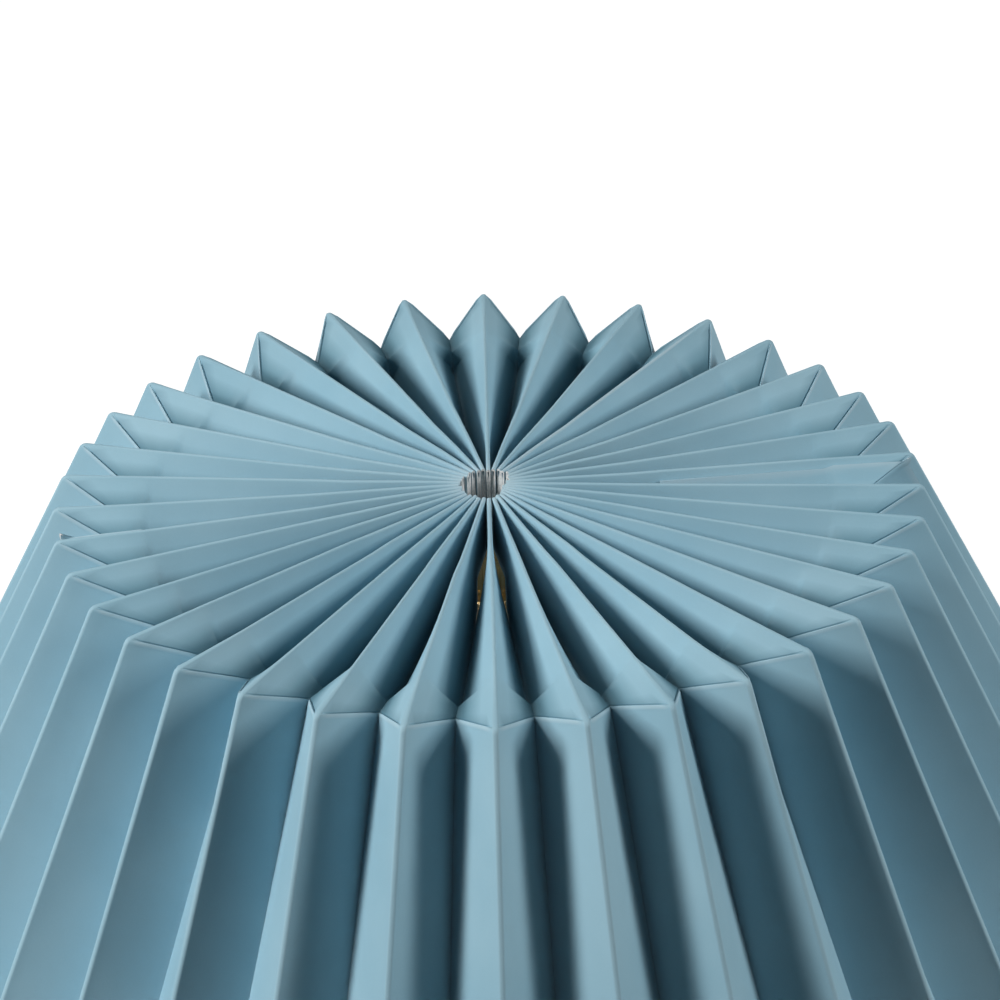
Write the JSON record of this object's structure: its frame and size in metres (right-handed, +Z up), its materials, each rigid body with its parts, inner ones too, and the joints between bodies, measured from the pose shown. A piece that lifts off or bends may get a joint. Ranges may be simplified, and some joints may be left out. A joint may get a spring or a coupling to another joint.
{
  "type": "table lamp",
  "caption": "Table lamp with a wide pleated board shade, closed on top, carried by a harp and spider over a lampholder with a turn switch, a brass stem and a round weighted base.",
  "frame": {"origin": "on the resting plane, under the middle of the base", "axes": "+Z up along the stem; the front is towards -Y and +X is to the right of someone facing the front"},
  "size_m": [0.3898, 0.3906, 0.43],
  "materials": {
    "board": "matt pale blue-grey pleated board with whitish cut edges",
    "brass": "satin brushed brass",
    "steel": "zinc plated",
    "white_paint": "fine matt powder coat",
    "iron": "rough cast",
    "felt": "dense felt",
    "fibre": "insulating fibre sleeve",
    "phenolic": "moulded black",
    "rubber": "soft black",
    "bulb_glass": "clear thin glass",
    "bulb_metal": "plated screw cap",
    "led": "phosphor coated sticks"
  },
  "bodies": {
    "lamp": {"harp_wire": "brass", "harp_plate": "brass", "harp_saddle": "brass", "holder_cap": "brass", "holder_shell": "brass", "holder_liner": "fibre", "holder_core": "phenolic", "terminal_screws": "steel", "screw_shell": "bulb_metal", "centre_contact": "brass", "bulb_cap": "bulb_metal", "bulb_insulator": "phenolic", "bulb_contact": "bulb_metal", "bulb_glass": "bulb_glass", "filament_post": "bulb_glass", "led_sticks": "led", "stem_foot": "brass", "stem_tube": "brass", "stem_crown": "brass", "threaded_pipe": "steel", "base_cover": "white_paint", "base_weight": "iron", "base_washer": "steel", "base_nut": "steel", "base_pad": "felt", "cord_bushing": "rubber"},
    "shade": {"shade_front": "board", "shade_back": "board", "spider_ring": "steel", "spider_arms": "steel", "spider_hub": "steel"},
    "finial": {"finial": "brass"},
    "sleeve_left": {"harp_sleeve_left": "brass"},
    "sleeve_right": {"harp_sleeve_right": "brass"},
    "switch": {"switch_shaft": "steel", "switch_knob": "phenolic"}
  },
  "joints": [
    {"name": "shade_turn", "type": "hinge", "parent": "lamp", "child": "shade", "pos_m": [0, 0, 0.396], "axis": [0, 0, 1], "continuous": true},
    {"name": "finial_turn", "type": "hinge", "parent": "lamp", "child": "finial", "pos_m": [0, 0, 0.398], "axis": [0, 0, 1], "range_deg": [0, 1890]},
    {"name": "switch_turn", "type": "hinge", "parent": "lamp", "child": "switch", "pos_m": [0, -0.018, 0.271], "axis": [0, -1, 0], "continuous": true},
    {"name": "sleeve_left_lift", "type": "slide", "parent": "lamp", "child": "sleeve_left", "axis": [0, 0, 1], "range_m": [0, 0.012]},
    {"name": "sleeve_right_lift", "type": "slide", "parent": "lamp", "child": "sleeve_right", "axis": [0, 0, 1], "range_m": [0, 0.012]}
  ]
}
